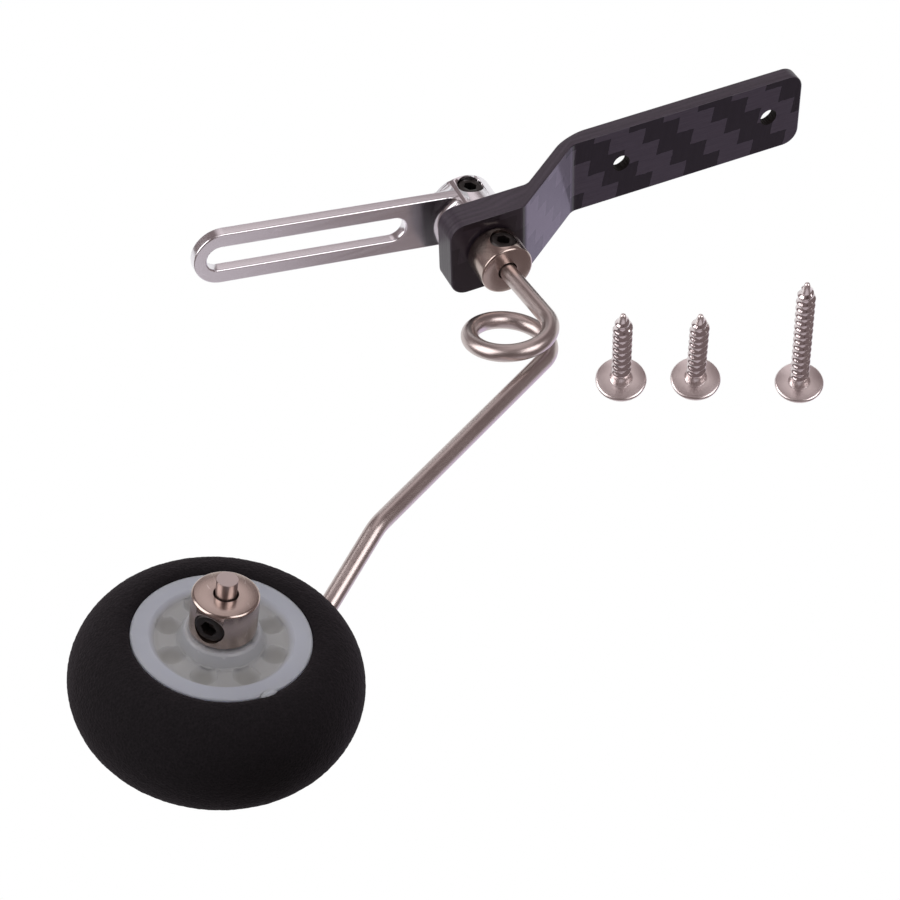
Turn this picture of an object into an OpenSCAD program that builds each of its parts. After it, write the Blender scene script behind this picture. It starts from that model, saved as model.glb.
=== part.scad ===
// Tailwheel assembly for a model aircraft, in millimetres.
// A cranked carbon bracket carries a steering shaft bent from one spring wire. A slotted tiller arm
// clamps to the top of the shaft, a collar holds the shaft from below, and the wire winds one coil
// before it runs aft to a foam-tyred wheel between two collars.
// The frame has its origin midway between the two bracket holes, on the bracket's top face,
// with +Z up and +X forward. The wheel trails aft of the steering shaft.

/* [Bracket] */
// Width of the carbon bracket
bracket_w = 15.6; // [12:0.2:20]
// Thickness of the mounting plate and of the sloped web, measured upright
plate_t = 3; // [2:0.1:4]
// Thickness of the end that holds the steering shaft
shaft_end_t = 5.4; // [4:0.1:8]
// Height of the mounting plate above the shaft end, underside to underside
bracket_rise = 11.4; // [9:0.2:16]
// Distance from the steering shaft to the bracket's aft end
bracket_aft = 7.7; // [7:0.1:12]
// Distance from the steering shaft to the bracket's forward end
bracket_fore = 67.5; // [60:0.1:80]
// Distance from the steering shaft to the foot of the slope
slope_x = 6.3; // [5:0.1:9]
// Run of the slope along the bracket
slope_run = 14.8; // [12:0.2:20]
// Radius of the three tight bends in the bracket's side view
bend_r = 2.6; // [1:0.1:3]
// Radius of the wide bend at the top of the slope
top_bend_r = 11; // [3:0.5:14]
// Radius of the bracket's corners, seen from above
corner_r = 3; // [1:0.2:6]
// Diameter of the two mounting holes
mount_hole_d = 3.3; // [2.5:0.1:4]
// Distance between the two mounting holes
mount_spacing = 30; // [24:0.5:34]
// Distance from the steering shaft to the middle of the two holes
mount_mid_x = 45.9; // [42:0.1:48]
// Distance of the steering shaft to the right of the bracket's middle
shaft_side = 0.75; // [0:0.05:1.5]

/* [Steering] */
// Diameter of the spring wire
wire_d = 3; // [2.5:0.1:3.4]
// Outside diameter of the sleeve bush in the bracket
bush_d = 5; // [4.6:0.1:6]
// Angle that the shaft is turned by from straight ahead
steer_turn = 8.8; // [-40:0.2:40]
// Outside diameter of the tiller's hub
hub_d = 12; // [11:0.2:14]
// Height of the tiller's hub
hub_h = 7.8; // [7:0.1:8.2]
// Height of the arm's underside above the hub's foot
arm_lift = 3.2; // [3.2:0.1:4.8]
// Thickness of the tiller arm
arm_t = 2.1; // [1.5:0.1:3]
// Width of the tiller arm
arm_w = 10.4; // [9:0.1:11]
// Reach of the tiller arm from the shaft to its tip
arm_reach = 51.2; // [40:0.2:60]
// Width of the slot in the arm
slot_w = 4.8; // [4:0.1:5.4]
// Distance from the shaft to the near end of the slot
slot_start = 12.4; // [11:0.2:20]
// Wall left between the slot and the arm's tip
slot_wall = 2.3; // [2:0.1:4]
// Radius of the fillet between the hub and the arm
fillet_r = 3; // [1:0.1:3.1]
// Angle that the tiller is clamped at, from the line of the leg
tiller_turn = 1; // [-10:0.2:10]

/* [Collars] */
// Outside diameter of the collars
collar_d = 9.5; // [8.5:0.1:11]
// Length of the collars
collar_l = 6.3; // [5.6:0.1:8]
// Chamfer on the collars' ends
collar_chamfer = 0.4; // [0.2:0.1:0.8]
// Diameter of the set screws
set_d = 4; // [3:0.1:4.4]
// Depth of the set screws' heads below the surface
set_sink = 0.5; // [0.2:0.1:1]
// Size across flats of the set screws' sockets
socket_af = 2; // [1.5:0.1:2.2]
// Depth of the set screws' sockets
socket_depth = 1.5; // [1:0.1:1.6]
// Depth of the countersunk mouths of the set screws' holes
set_mouth = 0.5; // [0.2:0.1:0.6]

/* [Spring strut] */
// Radius of the coil, at the middle of the wire
coil_r = 6.7; // [5.5:0.1:8]
// Depth of the coil's centre below the shaft end
coil_drop = 20.5; // [18:0.1:26]
// Sideways step of the wire through the coil
coil_step = 4.5; // [3.5:0.1:5]
// Angle at which the wire leaves the coil, below level
leg_pitch = 31.1; // [28:0.1:36]
// Sideways lean of the wire below the collar
lean_side = 4.8; // [0:0.1:6]
// Fore-and-aft lean of the wire below the collar
lean_fore = 1.9; // [0:0.1:4]
// Turn of the coil against the line of the shaft
lean_turn = 4.1; // [0:0.1:6]
// Distance along the leg from the coil to its first sideways bend
leg_bend_a = 49.6; // [44:0.2:54]
// Length of the leg's last run, from its second sideways bend to the axle
leg_tail = 7.8; // [7.4:0.1:10]
// Radius of the sideways bends, at the middle of the wire
offset_bend_r = 6; // [5:0.5:8]
// Radius of the bend into the axle, at the middle of the wire
axle_bend_r = 4.5; // [4:0.1:5]
// Length of axle past the outer collar
axle_stub = 2.6; // [1:0.1:4]

/* [Wheel] */
// Distance of the wheel's centre aft of the shaft
wheel_aft = 79.4; // [76:0.2:88]
// Distance of the wheel's centre to the left of the shaft
wheel_side = 0.8; // [-1:0.1:2]
// Depth of the wheel's centre below the shaft end
wheel_drop = 78.1; // [76:0.1:82]
// Lean of the axle, with its inner end down
camber = 2.9; // [0:0.1:5]
// Turn of the axle against the line of the shaft
toe = 2.2; // [0:0.1:5]
// Diameter of the tyre
tyre_d = 42; // [38:0.5:46]
// Width of the tyre
tyre_w = 18.1; // [17.6:0.1:19]
// Diameter at which the tyre is widest
tyre_wide_d = 28; // [27:0.5:32]
// Depth of the foam's edge at the rim behind its widest place
tyre_tuck = 0.65; // [0.4:0.05:1]
// Roundness of the tyre's section, where 2 is an ellipse
tyre_round = 1.9; // [1.8:0.1:3]
// Diameter of the hub's rim
rim_d = 25.4; // [24:0.1:26.4]
// Width of the hub across both rims
wheel_w = 17.4; // [16.8:0.1:17.6]
// Thickness of each rim
rim_t = 1.5; // [1.2:0.1:2]
// Height of the rims over the barrel that the tyre sits on
rim_lip = 1.3; // [0.8:0.1:1.6]
// Thickness of the barrel's wall
barrel_t = 1.4; // [1:0.1:2]
// Depth of the recess in each hub face
recess = 0.9; // [0.6:0.1:1.4]
// Thickness of the web behind the recess
web_t = 1.8; // [1.4:0.1:2.4]
// Diameter of the boss around the axle
boss_d = 10.8; // [10:0.1:11.4]
// Height of the boss over the rim's face
boss_proud = 1.3; // [0.6:0.1:2]
// Diameter of the round pockets in the web
pocket_d = 3.7; // [2.4:0.1:3.8]
// Depth of the pockets
pocket_depth = 0.8; // [0.4:0.1:1]
// Diameter of the circle that the pockets lie on
pocket_pcd = 15.4; // [15:0.1:15.6]
// Number of pockets in each web
pockets = 8; // [6:1:8]
// Angle that the wheel stands at
wheel_turn = 5.7; // [0:0.1:45]

/* [Loose screws] */
// Diameter of the screws
screw_d = 2.5; // [2:0.1:3]
// Length of the two mounting screws
screw_l = 14.6; // [12:0.2:20]
// Length of the rudder screw
rudder_screw_l = 21.4; // [18:0.2:30]
// Diameter of the screws' washer heads
screw_head_d = 6.5; // [6:0.1:8]
// Thickness of the washers under the heads
washer_t = 0.8; // [0.6:0.1:1.2]
// Length of the screws' tapered points
screw_point = 3; // [2:0.1:5]
// Radius of the screws' tips
screw_tip_r = 0.15; // [0.1:0.05:0.3]

/* [Clearances] */
// Radial clearance of the turning wire in its bush and hub
run_gap = 0.05; // [0.02:0.01:0.1]
// Radial clearance of pieces that are fixed together
seat_gap = 0.03; // [0.01:0.01:0.06]
// End clearance between pieces that turn against each other
end_gap = 0.3; // [0.2:0.05:0.6]

/* [Hidden] */
$fn = 64;

// Length by which a cutter runs past the face that it cuts.
past = 1;
wire_r = wire_d / 2;
wire_sides = 24;
collar_bore_d = wire_d + 2 * seat_gap;
run_bore_d = wire_d + 2 * run_gap;
plate_top = bracket_rise + plate_t;
slope_k = bracket_rise / slope_run;
// The top of the slope starts where the web's upper face leaves the shaft end's top.
slope_top_x = slope_x + (shaft_end_t - plate_t) / slope_k;
hub_foot = shaft_end_t + end_gap;
arm_z = hub_foot + arm_lift;
// The tiller's set screw sits just under the hub's top edge.
tiller_screw_z = hub_foot + hub_h - set_d / 2 - 2 * collar_chamfer;
collar_top = -end_gap;
shaft_top = hub_foot + hub_h + collar_chamfer;
// The wire bends slightly just under the collar, and the coil leans about that place.
kink = [0, 0, collar_top - collar_l - 2 * collar_chamfer];
kink_r = 12;
coil_turn = 360 + 90 - leg_pitch;
half_w = wheel_w / 2;
boss_half = half_w + boss_proud;
barrel_r = rim_d / 2 - rim_lip;
wheel_centre = [-wheel_aft, wheel_side, -wheel_drop];
axle_dir = [-sin(toe) * cos(camber), cos(toe) * cos(camber), -sin(camber)];
axle_tip = -(boss_half + end_gap + collar_l + axle_stub);
// The axle runs straight to where its bend starts, just past the inner collar.
axle_end = boss_half + end_gap + collar_l + end_gap;
ground_z = -wheel_drop - tyre_d / 2;
// The wheel collars' set screws point down and aft, where a key reaches them past the tyre.
collar_key_turn = 140;
// Places of the screws' heads on the ground, from the bracket's end, and the angle that they point aft by.
mounting_screw_places = [[-25.6, -65], [-14.7, -60.5]];
rudder_screw_place = [1.3, -53];
screw_yaw = 6.6;

bracket_col = [0.17, 0.16, 0.19];
aluminium_col = [0.72, 0.72, 0.74];
nickel_col = [0.55, 0.51, 0.48];
brass_col = [0.72, 0.58, 0.32];
black_col = [0.10, 0.09, 0.09];
nylon_col = [0.86, 0.87, 0.92];
foam_col = [0.10, 0.09, 0.10];

// Moves a shape from the bracket's end to the frame of the part.
module placed() {
  translate([-mount_mid_x, 0, -plate_top]) children();
}

// Moves a shape to the shaft's place in the bracket.
module on_shaft() {
  placed() translate([0, -shaft_side, 0]) children();
}

// Turns a shape with the steering shaft.
module steered() {
  on_shaft() rotate([0, 0, steer_turn]) children();
}

// Lays a shape's Z axis along the axle, towards its inner end.
module on_axle(y) {
  translate(wheel_centre) rotate([-90 - camber, 0, toe]) translate([0, 0, y]) children();
}

// Points of an arc from angle a to angle b.
function arc(centre, r, a, b, steps) =
  [for (i = [0:steps]) centre + r * [cos(a + (b - a) * i / steps), sin(a + (b - a) * i / steps)]];

// Points that round a corner at p between the directions of the points before and after it.
function rounded(before, p, after, r) =
  let (u = (before - p) / norm(before - p), v = (after - p) / norm(after - p))
  let (half = acos(u * v) / 2, centre = p + (u + v) / norm(u + v) * r / sin(half))
  let (from = p + u * r / tan(half) - centre, to = p + v * r / tan(half) - centre)
  let (a = atan2(from.y, from.x), d = atan2(to.y, to.x) - a)
  arc(centre, r, a, a + (d > 180 ? d - 360 : d < -180 ? d + 360 : d), 8);

// Side view of the bracket, with X along it and Y upwards.
module bracket_side() {
  low_foot = [slope_x, 0];
  low_head = [slope_x + slope_run, bracket_rise];
  top_head = [slope_x + slope_run, plate_top];
  top_foot = [slope_top_x, shaft_end_t];
  aft_low = [-bracket_aft, 0];
  aft_top = [-bracket_aft, shaft_end_t];
  fore_low = [bracket_fore, bracket_rise];
  fore_top = [bracket_fore, plate_top];
  polygon(concat([aft_low], rounded(aft_low, low_foot, low_head, bend_r),
                 rounded(low_foot, low_head, fore_low, bend_r), [fore_low, fore_top],
                 rounded(fore_top, top_head, top_foot, top_bend_r),
                 rounded(top_head, top_foot, aft_top, bend_r), [aft_top]));
}

// Upright block with rounded corners, seen from above.
module rounded_block(x0, x1, w, r, h) {
  translate([x0 + r, -w / 2, 0]) cube([x1 - x0 - 2 * r, w, h]);
  translate([x0, -w / 2 + r, 0]) cube([x1 - x0, w - 2 * r, h]);
  for (x = [x0 + r, x1 - r], y = [-w / 2 + r, w / 2 - r]) {
    translate([x, y, 0]) cylinder(r = r, h = h);
  }
}

// Cranked carbon plate with a thick end for the shaft and two holes for screws.
module bracket() {
  color(bracket_col) placed() difference() {
    intersection() {
      rotate([90, 0, 0]) translate([0, 0, -bracket_w / 2]) linear_extrude(bracket_w) bracket_side();
      translate([0, 0, -past])
        rounded_block(-bracket_aft, bracket_fore, bracket_w, corner_r, plate_top + 2 * past);
    }
    translate([0, -shaft_side, -past]) cylinder(d = bush_d + 2 * seat_gap, h = shaft_end_t + 2 * past);
    for (side = [-1, 1]) {
      translate([mount_mid_x + side * mount_spacing / 2, 0, 0])
        cylinder(d = mount_hole_d, h = plate_top + past);
    }
  }
}

// Plain sleeve that the wire turns in, flush with both faces of the bracket.
module shaft_bush() {
  color(brass_col) on_shaft() difference() {
    cylinder(d = bush_d, h = shaft_end_t);
    translate([0, 0, -past]) cylinder(d = run_bore_d, h = shaft_end_t + 2 * past);
  }
}

// Threaded cross hole for a set screw, along +X, with a countersunk mouth at radius r.
module set_hole(r) {
  cone = set_mouth + past;
  rotate([0, 90, 0]) cylinder(d = set_d + 2 * seat_gap, h = r + past);
  translate([r - set_mouth, 0, 0]) rotate([0, 90, 0]) cylinder(d1 = set_d, d2 = set_d + 2 * cone, h = cone);
}

// Headless set screw along +X that bears on the wire and ends below the surface at radius r.
module set_screw(r) {
  top = r - set_sink;
  foot = wire_r + seat_gap;
  color(black_col) difference() {
    translate([foot, 0, 0]) rotate([0, 90, 0]) cylinder(d = set_d, h = top - foot);
    translate([top - socket_depth, 0, 0]) rotate([0, 90, 0])
      cylinder(d = socket_af / cos(30), h = socket_depth + past, $fn = 6);
  }
}

// Aft-pointing outline of the tiller arm with its slot, before the hub is added.
module arm_blank(h) {
  tip = arm_reach - arm_w / 2;
  translate([-tip, -arm_w / 2, 0]) cube([tip, arm_w, h]);
  translate([-tip, 0, 0]) cylinder(d = arm_w, h = h);
}

// Slotted arm with a hub that clamps on the top of the shaft.
module tiller_arm() {
  slot_far = arm_reach - slot_wall - slot_w / 2;
  slot_near = slot_start + slot_w / 2;
  color(aluminium_col) steered() rotate([0, 0, tiller_turn]) difference() {
    union() {
      translate([0, 0, hub_foot]) cylinder(d = hub_d, h = hub_h);
      translate([0, 0, arm_z]) arm_blank(arm_t);
      // Fillet under the arm, cut off where the arm is no wider.
      intersection() {
        translate([0, 0, arm_z - fillet_r]) arm_blank(fillet_r + arm_t / 2);
        rotate_extrude() hub_fillet();
      }
    }
    translate([0, 0, hub_foot - past]) cylinder(d = collar_bore_d, h = hub_h + 2 * past);
    for (x = [slot_far, slot_near]) {
      translate([-x, 0, arm_z - past]) cylinder(d = slot_w, h = arm_t + 2 * past);
    }
    translate([-slot_far, -slot_w / 2, arm_z - past])
      cube([slot_far - slot_near, slot_w, arm_t + 2 * past]);
    translate([0, 0, tiller_screw_z]) rotate([0, 0, -90]) set_hole(hub_d / 2);
  }
}

// Half section of the fillet between the hub's wall and the arm's underside.
module hub_fillet() {
  centre = [hub_d / 2 + fillet_r, arm_z - fillet_r];
  polygon(concat([[hub_d / 4, arm_z - fillet_r]], arc(centre, fillet_r, 180, 90, 8),
                 [[centre.x, arm_z + arm_t / 4], [hub_d / 4, arm_z + arm_t / 4]]));
}

module tiller_set_screw() {
  steered() translate([0, 0, tiller_screw_z]) rotate([0, 0, tiller_turn - 90]) set_screw(hub_d / 2);
}

// Collar along +Z with chamfered ends and one cross hole along +X.
module collar() {
  c = collar_chamfer;
  r = collar_d / 2;
  color(nickel_col) difference() {
    rotate_extrude()
      polygon([[0, 0], [r - c, 0], [r, c], [r, collar_l - c], [r - c, collar_l], [0, collar_l]]);
    translate([0, 0, -past]) cylinder(d = collar_bore_d, h = collar_l + 2 * past);
    translate([0, 0, collar_l / 2]) set_hole(r);
  }
}

module steering_collar() {
  steered() translate([0, 0, collar_top - collar_l]) rotate([0, 0, -90]) collar();
}

module steering_set_screw() {
  steered() translate([0, 0, collar_top - collar_l / 2]) rotate([0, 0, -90]) set_screw(collar_d / 2);
}

// Straight run of wire along +Z.
module wire_run(l) {
  cylinder(d = wire_d, h = l);
}

// Skin of a wire through rings of points that all have the same number of sides.
module wire_skin(rings) {
  sides = len(rings[0]);
  steps = len(rings) - 1;
  first = [[for (i = [0:sides - 1]) i]];
  last = [[for (i = [sides - 1:-1:0]) steps * sides + i]];
  skin = [for (s = [0:steps - 1], i = [0:sides - 1])
    let (j = (i + 1) % sides)
    [s * sides + i, (s + 1) * sides + i, (s + 1) * sides + j, s * sides + j]];
  polyhedron([for (ring = rings) each ring], concat(first, last, skin));
}

// Ring of points around the wire at a place, from the wire's direction and one direction across it.
function wire_ring(place, along, across) =
  let (side = cross(along, across))
  [for (i = [0:wire_sides - 1])
    place + wire_r * (across * cos(360 * i / wire_sides) + side * sin(360 * i / wire_sides))];

// Direction in the coil's own frame, turned to the frame of the shaft.
function leaned(v) =
  let (a = [v.x, v.y * cos(lean_side) + v.z * sin(lean_side), v.z * cos(lean_side) - v.y * sin(lean_side)])
  let (b = [a.x * cos(lean_fore) - a.z * sin(lean_fore), a.y, a.z * cos(lean_fore) + a.x * sin(lean_fore)])
  [b.x * cos(lean_turn) + b.y * sin(lean_turn), b.y * cos(lean_turn) - b.x * sin(lean_turn), b.z];

// Place in the coil's own frame, moved to the frame of the shaft.
function coil_place(p) = kink + leaned(p - kink);

// Sideways place of the wire in the coil, eased so that both ends run straight on.
function coil_y(a) =
  let (t = a / coil_turn) coil_step * (t - sin(360 * t) / (2 * PI));

function coil_slope(a) =
  let (t = a / coil_turn) coil_step * (1 - cos(360 * t)) / (coil_turn * PI / 180);

function coil_ring(a) =
  let (place = [-coil_r + coil_r * cos(a), coil_y(a), -coil_drop - coil_r * sin(a)])
  let (along = [-coil_r * sin(a), coil_slope(a), -coil_r * cos(a)])
  wire_ring(coil_place(place), leaned(along / norm(along)), leaned([cos(a), 0, -sin(a)]));

// Places and directions of the wire through a bend at b, on its way from a to c.
function wire_bend(a, b, c, r, steps) =
  let (u = (b - a) / norm(b - a), v = (c - b) / norm(c - b), turn = acos(u * v))
  let (across = (v - u * cos(turn)) / sin(turn), start = b - u * r * tan(turn / 2))
  [for (i = [0:steps])
    let (t = turn * i / steps)
    [start + r * sin(t) * u + r * (1 - cos(t)) * across, cos(t) * u + sin(t) * across]];

// Rings around the wire at its places, kept from twisting by one direction across them all.
function wire_rings(places, across) =
  [for (p = places) let (w = across - (across * p[1]) * p[1]) wire_ring(p[0], p[1], w / norm(w))];

// The bend under the collar, from upright to the line of the coil.
kink_bend = wire_bend([0, 0, 0], kink, coil_place([0, 0, -coil_drop]), kink_r, 4);
shaft_foot = kink_bend[0][0].z;

// Upper end of the wire, turning in the bush.
module strut_shaft() {
  color(nickel_col) steered() translate([0, 0, shaft_foot]) wire_run(shaft_top - shaft_foot);
}

// One turn of the spring below the shaft, with its last part leading into the leg.
module spring_coil() {
  steps = 64;
  color(nickel_col) steered() wire_skin(concat(
    wire_rings(kink_bend, leaned([1, 0, 0])),
    [for (i = [0:steps]) coil_ring(coil_turn * i / steps)]));
}

// Leg of the wire: aft and down, set over to the side of the wheel, and bent across into the axle.
module strut_leg() {
  start = coil_place([-coil_r + coil_r * sin(leg_pitch), coil_step, -coil_drop - coil_r * cos(leg_pitch)]);
  along = leaned([-cos(leg_pitch), 0, -sin(leg_pitch)]);
  corner = wheel_centre + axle_dir * (axle_end + axle_bend_r / tan(acos(along * axle_dir) / 2));
  out = start + along * leg_bend_a;
  back = corner - along * leg_tail;
  color(nickel_col) steered() wire_skin(wire_rings(concat(
    [[start + along * seat_gap, along]],
    wire_bend(start, out, back, offset_bend_r, 8),
    wire_bend(out, back, corner, offset_bend_r, 8),
    wire_bend(back, corner, wheel_centre, axle_bend_r, 16)), cross(along, axle_dir)));
}

// Straight end of the wire that the wheel turns on.
module axle() {
  color(nickel_col) steered() on_axle(axle_tip) wire_run(axle_end - axle_tip);
}

module inner_wheel_collar() {
  steered() on_axle(boss_half + end_gap) rotate([0, 0, collar_key_turn]) collar();
}

module inner_collar_set_screw() {
  steered() on_axle(boss_half + end_gap + collar_l / 2)
    rotate([0, 0, collar_key_turn]) set_screw(collar_d / 2);
}

module outer_wheel_collar() {
  steered() on_axle(-boss_half - end_gap - collar_l) rotate([0, 0, collar_key_turn]) collar();
}

module outer_collar_set_screw() {
  steered() on_axle(-boss_half - end_gap - collar_l / 2)
    rotate([0, 0, collar_key_turn]) set_screw(collar_d / 2);
}

// Half section of one moulded hub half, from the wheel's middle plane outwards along +Y.
module hub_section() {
  web_top = half_w - recess;
  rim_r = rim_d / 2;
  soft = rim_t / 4;
  polygon(concat([[run_bore_d / 2, 0], [boss_d / 2, 0], [boss_d / 2, web_top - web_t],
                  [barrel_r - barrel_t, web_top - web_t], [barrel_r - barrel_t, 0], [barrel_r, 0],
                  [barrel_r, half_w - rim_t]],
                 [[rim_r, half_w - rim_t]], arc([rim_r - soft, half_w - soft], soft, 0, 90, 4),
                 [[rim_r - 2 * rim_lip, half_w], [rim_r - 2 * rim_lip - recess / 3, web_top],
                  [boss_d / 2 + recess / 3, web_top], [boss_d / 2, boss_half],
                  [run_bore_d / 2, boss_half]]));
}

// One half of the wheel's hub along +Z, with shallow pockets in its web.
module hub_half() {
  color(nylon_col) difference() {
    rotate_extrude() hub_section();
    for (i = [0:pockets - 1]) {
      rotate([0, 0, i * 360 / pockets]) translate([pocket_pcd / 2, 0, half_w - recess - pocket_depth])
        cylinder(d = pocket_d, h = pocket_depth + recess);
    }
  }
}

module inner_hub_half() {
  steered() on_axle(0) rotate([0, 0, -wheel_turn]) hub_half();
}

module outer_hub_half() {
  steered() on_axle(0) rotate([180, 0, -wheel_turn]) hub_half();
}

// Half section of the tyre's side from the rim's edge to its widest place.
function tyre_side(edge_r, side) =
  let (wide_r = tyre_wide_d / 2, turn = acos(1 - tyre_tuck / (tyre_w / 2)))
  let (rise = (wide_r - edge_r) / sin(turn), steps = 4)
  [for (i = [steps:-1:1]) let (t = turn * i / steps) [wide_r - rise * sin(t), side * tyre_w / 2 * cos(t)]];

// Foam tyre on the barrel, held between the two rims and bulging past them.
module tyre() {
  seat_r = barrel_r + seat_gap;
  seat_half = half_w - rim_t - seat_gap;
  edge_r = rim_d / 2 + seat_gap;
  wide_r = tyre_wide_d / 2;
  crown = tyre_d / 2 - wide_r;
  steps = 28;
  tread = [for (i = [0:steps])
    let (a = 180 * i / steps, c = cos(a), s = sin(a))
    [wide_r + crown * pow(s, 2 / tyre_round), tyre_w / 2 * sign(c) * pow(abs(c), 2 / tyre_round)]];
  low_side = tyre_side(edge_r, -1);
  color(foam_col) steered() on_axle(0) rotate_extrude($fn = 96)
    polygon(concat([[seat_r, seat_half], [edge_r, seat_half]], tyre_side(edge_r, 1), tread,
                   [for (i = [len(low_side) - 1:-1:0]) low_side[i]],
                   [[edge_r, -seat_half], [seat_r, -seat_half]]));
}

// Washer-head screw along +Z with the washer's bearing face at zero.
module washer_screw(l) {
  r = screw_d / 2;
  head_r = screw_head_d / 2;
  dome_r = 2 * head_r / 3;
  color(nickel_col) rotate_extrude() polygon(concat(
    [[0, l], [screw_tip_r, l], [r, l - screw_point], [r, 0], [head_r, 0], [head_r, -washer_t / 2],
     [head_r - washer_t / 2, -washer_t]],
    arc([0, -washer_t], dome_r, 0, -90, 8)));
}

// The screw lies on the ground on the rim of its head and on its tip, pointing to the right.
module lying_screw(l, place) {
  head_r = screw_head_d / 2;
  tilt = atan((head_r - screw_tip_r) / l);
  translate([place.x, place.y, ground_z + head_r * cos(tilt)])
    rotate([90 + tilt, 0, -screw_yaw]) washer_screw(l);
}

// The two short screws that fix the bracket, lying beside the wheel.
module mounting_screws() {
  placed() for (place = mounting_screw_places) {
    lying_screw(screw_l, place);
  }
}

// The longer screw for the rudder, lying with the others.
module rudder_screw() {
  placed() lying_screw(rudder_screw_l, rudder_screw_place);
}

bracket();
shaft_bush();
tiller_arm();
tiller_set_screw();
steering_collar();
steering_set_screw();
strut_shaft();
spring_coil();
strut_leg();
axle();
inner_wheel_collar();
inner_collar_set_screw();
outer_wheel_collar();
outer_collar_set_screw();
inner_hub_half();
outer_hub_half();
tyre();
mounting_screws();
rudder_screw();
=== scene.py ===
import math

import bmesh
import bpy
from mathutils import Matrix, Vector


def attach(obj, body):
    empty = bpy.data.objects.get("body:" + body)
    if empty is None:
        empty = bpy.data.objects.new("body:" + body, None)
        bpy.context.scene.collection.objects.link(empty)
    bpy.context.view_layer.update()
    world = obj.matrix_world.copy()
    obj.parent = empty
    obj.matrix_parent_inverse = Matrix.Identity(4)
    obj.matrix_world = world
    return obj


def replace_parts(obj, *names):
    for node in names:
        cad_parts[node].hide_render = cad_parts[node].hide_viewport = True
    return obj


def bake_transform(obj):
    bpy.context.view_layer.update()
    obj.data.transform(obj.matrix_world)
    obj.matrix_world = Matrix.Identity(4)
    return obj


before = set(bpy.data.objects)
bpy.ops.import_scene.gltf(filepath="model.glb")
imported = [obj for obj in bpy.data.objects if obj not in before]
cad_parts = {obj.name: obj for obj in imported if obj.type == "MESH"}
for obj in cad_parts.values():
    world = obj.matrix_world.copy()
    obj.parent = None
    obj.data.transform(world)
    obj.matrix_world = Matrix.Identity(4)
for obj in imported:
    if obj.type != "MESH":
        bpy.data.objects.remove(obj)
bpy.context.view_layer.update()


# Bracket: a cranked strip of carbon laminate with a thick end for the steering shaft and a thinner plate that
# screws to the fuselage. It is moulded, cut to its outline and drilled. Its faces are lacquered over the
# twill, its cut edges show the plies, and its screw holes are countersunk from above.
MM = 0.001
heel, low_bend, high_bend, tip = -7.7, 6.3, 21.1, 67.5
rise, upper_lead = 11.4, 3.116  # between the two levels, and how far ahead the upper face bends
bracket_w, end_t, plate_t = 15.6, 5.4, 3.0
bend_setback, shoulder_setback, corner_r, edge_r = 0.885, 3.745, 3, 0.28
screw_holes, screw_hole_r = (30.9, 60.9), 1.65
sink_low, sink_high, sink_r = 13.3, 15.3, 3.6
shaft_y, shaft_hole_r = -0.75, 2.53
BRACKET_END = Vector((-sum(screw_holes) / 2, 0, -rise - plate_t)) * MM
SHAFT_FOOT = BRACKET_END + Vector((0, shaft_y, 0)) * MM


def clear_selection():
    """Leaves edit mode and selects nothing."""
    if bpy.context.object and bpy.context.object.mode != "OBJECT":
        bpy.ops.object.mode_set(mode="OBJECT")
    bpy.ops.object.select_all(action="DESELECT")


def named(name):
    """The object that was just added, under its own name."""
    made = bpy.context.object
    made.name = name
    made.data.name = name
    return made


def activate(piece):
    """Makes one piece the only selected and the active one."""
    clear_selection()
    piece.select_set(True)
    bpy.context.view_layer.objects.active = piece


def pick(kind, test):
    """Selects what passes a test, and nothing else, in the mesh that is being edited."""
    bpy.ops.mesh.select_mode(type=kind)
    bpy.ops.mesh.select_all(action="DESELECT")
    mesh = bmesh.from_edit_mesh(bpy.context.object.data)
    for item in {"VERT": mesh.verts, "EDGE": mesh.edges, "FACE": mesh.faces}[kind]:
        item.select_set(bool(test(item)))
    mesh.select_flush_mode()
    bmesh.update_edit_mesh(bpy.context.object.data)


def rod(radius, low, high, at=(0, 0), end_radius=None, vertices=64):
    """A plain rod or cone along Z, used to cut a hole or to add a boss."""
    clear_selection()
    bpy.ops.mesh.primitive_cone_add(vertices=vertices, radius1=radius * MM,
                                    radius2=(radius if end_radius is None else end_radius) * MM,
                                    depth=(high - low) * MM,
                                    location=(at[0] * MM, at[1] * MM, (low + high) / 2 * MM))
    bpy.ops.object.transform_apply(location=True, rotation=True, scale=True)
    return bpy.context.object


def combine(piece, other, operation):
    """Cuts another shape out of a piece, joins it on or keeps what both share, and removes the other."""
    activate(piece)
    step = piece.modifiers.new("combine", "BOOLEAN")
    step.operation = operation
    step.solver = "EXACT"
    step.object = other
    bpy.ops.object.modifier_apply(modifier=step.name)
    bpy.data.objects.remove(other)


def put(piece, place):
    """Moves a finished mesh to its place and leaves the object at the origin."""
    activate(piece)
    piece.matrix_world = place
    bpy.ops.object.transform_apply(location=True, rotation=True, scale=True)


def shade(piece):
    """Shades a piece smooth over its curves and keeps its flat faces flat."""
    activate(piece)
    bpy.ops.object.shade_smooth_by_angle(angle=math.radians(40))
    step = piece.modifiers.new("flat_faces", "WEIGHTED_NORMAL")
    step.keep_sharp = True
    bpy.ops.object.modifier_apply(modifier=step.name)


def soften(piece, width, angle=35, segments=3):
    """Rounds the sharp edges of a piece a little and shades it smooth over its curves."""
    activate(piece)
    step = piece.modifiers.new("soft_edges", "BEVEL")
    step.width = width * MM
    step.segments = segments
    step.limit_method = "ANGLE"
    step.angle_limit = math.radians(angle)
    bpy.ops.object.modifier_apply(modifier=step.name)
    shade(piece)


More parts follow.
